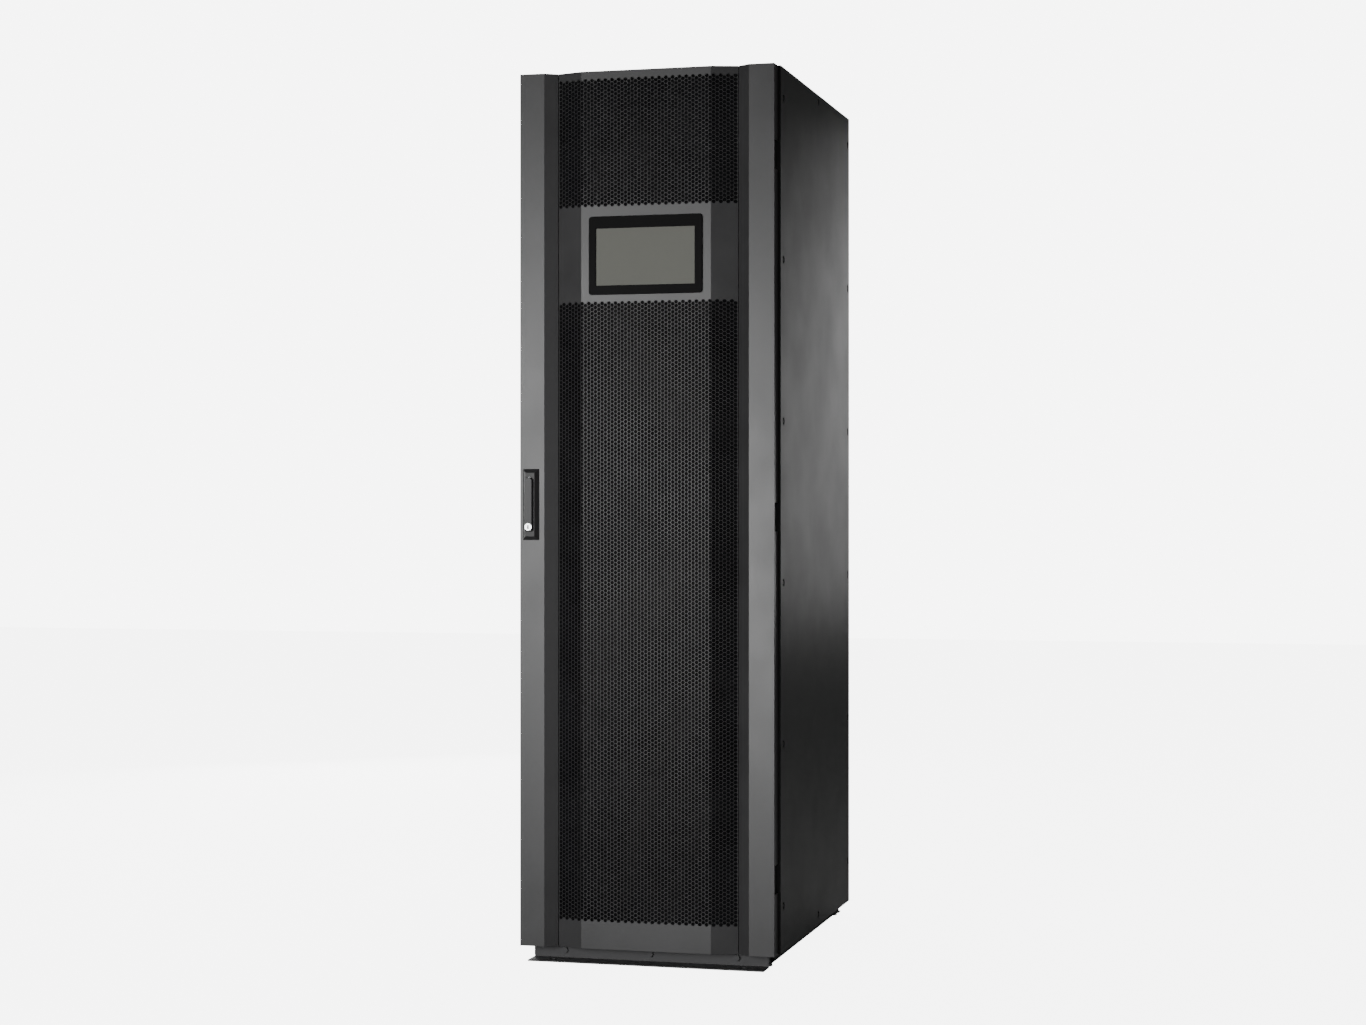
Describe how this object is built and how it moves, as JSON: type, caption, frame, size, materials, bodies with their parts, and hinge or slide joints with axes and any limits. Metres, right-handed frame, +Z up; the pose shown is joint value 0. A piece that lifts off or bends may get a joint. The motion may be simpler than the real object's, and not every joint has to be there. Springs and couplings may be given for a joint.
{
  "type": "battery rack cabinet",
  "caption": "Floor-standing battery cabinet with a bowed perforated front door, touch display, swing handle and rack battery modules inside.",
  "frame": {"origin": "on the floor, in the middle of the footprint", "axes": "+X to the right seen from the front, +Y to the back, +Z up"},
  "size_m": [0.6, 0.8896, 2.0025],
  "materials": {
    "black_powder_coat": "satin powder coat",
    "frame_powder_coat": "matt powder coat",
    "module_powder_coat": "fine textured powder coat",
    "zinc_steel": "zinc plated",
    "black_fastener": "moulded, fine texture",
    "handle_die_cast": "satin black",
    "lock_chrome": "polished",
    "gasket_rubber": "matt foam rubber",
    "filter_fabric": "black filter mat",
    "display_frame": "semi-gloss black",
    "display_glass": "anti-glare",
    "cell_aluminium": "plain",
    "grip_aluminium": "brushed",
    "orange_plastic": "moulded",
    "black_plastic": "moulded",
    "toggle_plastic": "moulded",
    "button_green": "moulded",
    "ring_steel": "brushed"
  },
  "bodies": {
    "cabinet": {"side_panel_left": "black_powder_coat", "side_panel_right": "black_powder_coat", "roof_panel": "black_powder_coat", "base_frame": "frame_powder_coat", "anchor_angles": "frame_powder_coat", "corner_posts": "frame_powder_coat", "top_frame": "frame_powder_coat", "floor_plate": "frame_powder_coat", "rack_rails": "frame_powder_coat", "front_lock_rod_keepers": "frame_powder_coat", "battery_module_1_case": "module_powder_coat", "battery_module_2_case": "module_powder_coat", "battery_module_3_case": "module_powder_coat", "battery_module_4_case": "module_powder_coat", "battery_module_5_case": "module_powder_coat", "battery_module_6_case": "module_powder_coat", "battery_module_7_case": "module_powder_coat", "battery_module_8_case": "module_powder_coat", "module_front_panels": "module_powder_coat", "control_unit_case": "module_powder_coat", "control_unit_panel": "module_powder_coat", "anchor_angle_bolts": "zinc_steel", "levelling_feet": "zinc_steel", "hinge_brackets": "zinc_steel", "module_screws": "zinc_steel", "roof_earth_studs": "zinc_steel", "side_panel_fasteners": "black_fastener", "module_data_sockets": "black_fastener", "roof_cable_edging": "gasket_rubber", "link_cables": "gasket_rubber", "battery_cells": "cell_aluminium", "module_handles": "grip_aluminium", "positive_plugs": "orange_plastic", "negative_plugs": "black_plastic", "main_breaker_body": "black_plastic", "start_button_ring": "ring_steel"},
    "front_door": {"front_door_frame": "black_powder_coat", "front_door_centre_sheet": "black_powder_coat", "front_door_gasket": "gasket_rubber", "front_door_filter": "filter_fabric", "front_hinge_leaves": "zinc_steel", "display_bezel": "display_frame", "display_screen": "display_glass", "display_housing": "display_frame", "front_handle_escutcheon": "handle_die_cast", "front_lock_guides": "black_fastener"},
    "front_spindle": {"front_handle_spindle": "zinc_steel"},
    "front_lever": {"front_handle_lever": "handle_die_cast"},
    "front_lock": {"front_lock_cylinder": "lock_chrome"},
    "front_upper_rod": {"front_upper_lock_rod": "zinc_steel"},
    "front_lower_rod": {"front_lower_lock_rod": "zinc_steel"},
    "rear_door": {"rear_door_panel": "black_powder_coat", "rear_door_gasket": "gasket_rubber", "rear_hinge_leaves": "zinc_steel", "rear_handle_escutcheon": "handle_die_cast"},
    "rear_spindle": {"rear_handle_spindle": "zinc_steel"},
    "rear_lever": {"rear_handle_lever": "handle_die_cast"},
    "rear_lock": {"rear_lock_cylinder": "lock_chrome"},
    "breaker_toggle": {"main_breaker_toggle": "toggle_plastic"},
    "start_button": {"start_button": "button_green"}
  },
  "joints": [
    {"name": "front_door_hinge", "type": "hinge", "parent": "cabinet", "child": "front_door", "pos_m": [0.285, -0.412, 1], "axis": [0, 0, 1], "range_deg": [0, 130]},
    {"name": "front_handle_turn", "type": "hinge", "parent": "front_door", "child": "front_spindle", "pos_m": [-0.269, -0.43, 1.0835], "axis": [0, -1, 0], "range_deg": [0, 90]},
    {"name": "front_handle_tilt", "type": "hinge", "parent": "front_spindle", "child": "front_lever", "pos_m": [-0.269, -0.4398, 1.0835], "axis": [-1, 0, 0], "range_deg": [0, 25]},
    {"name": "front_lock_turn", "type": "hinge", "parent": "front_lever", "child": "front_lock", "pos_m": [-0.269, -0.44, 0.9775], "axis": [0, -1, 0], "range_deg": [0, 90]},
    {"name": "front_upper_rod_slide", "type": "slide", "parent": "front_door", "child": "front_upper_rod", "axis": [0, 0, -1], "range_m": [0, 0.0158]},
    {"name": "front_lower_rod_slide", "type": "slide", "parent": "front_door", "child": "front_lower_rod", "axis": [0, 0, 1], "range_m": [0, 0.0158]},
    {"name": "rear_door_hinge", "type": "hinge", "parent": "cabinet", "child": "rear_door", "pos_m": [-0.287, 0.4182, 1], "axis": [0, 0, 1], "range_deg": [0, 130]},
    {"name": "rear_handle_turn", "type": "hinge", "parent": "rear_door", "child": "rear_spindle", "pos_m": [0.269, 0.43, 1.0835], "axis": [0, 1, 0], "range_deg": [0, 90]},
    {"name": "rear_handle_tilt", "type": "hinge", "parent": "rear_spindle", "child": "rear_lever", "pos_m": [0.269, 0.4398, 1.0835], "axis": [1, 0, 0], "range_deg": [0, 25]},
    {"name": "rear_lock_turn", "type": "hinge", "parent": "rear_lever", "child": "rear_lock", "pos_m": [0.269, 0.44, 0.9775], "axis": [0, 1, 0], "range_deg": [0, 90]},
    {"name": "main_breaker_switch", "type": "hinge", "parent": "cabinet", "child": "breaker_toggle", "pos_m": [-0.115, -0.337, 1.61153], "axis": [1, 0, 0], "range_deg": [0, 56]},
    {"name": "start_button_press", "type": "slide", "parent": "cabinet", "child": "start_button", "axis": [0, 1, 0], "range_m": [0, 0.003], "stiffness_N_per_m": 600, "springref_m": -0.001}
  ],
  "couplings": [
    {"joint": "front_upper_rod_slide", "follows": "front_handle_turn", "m_per_rad": 0.01},
    {"joint": "front_lower_rod_slide", "follows": "front_handle_turn", "m_per_rad": 0.01}
  ]
}
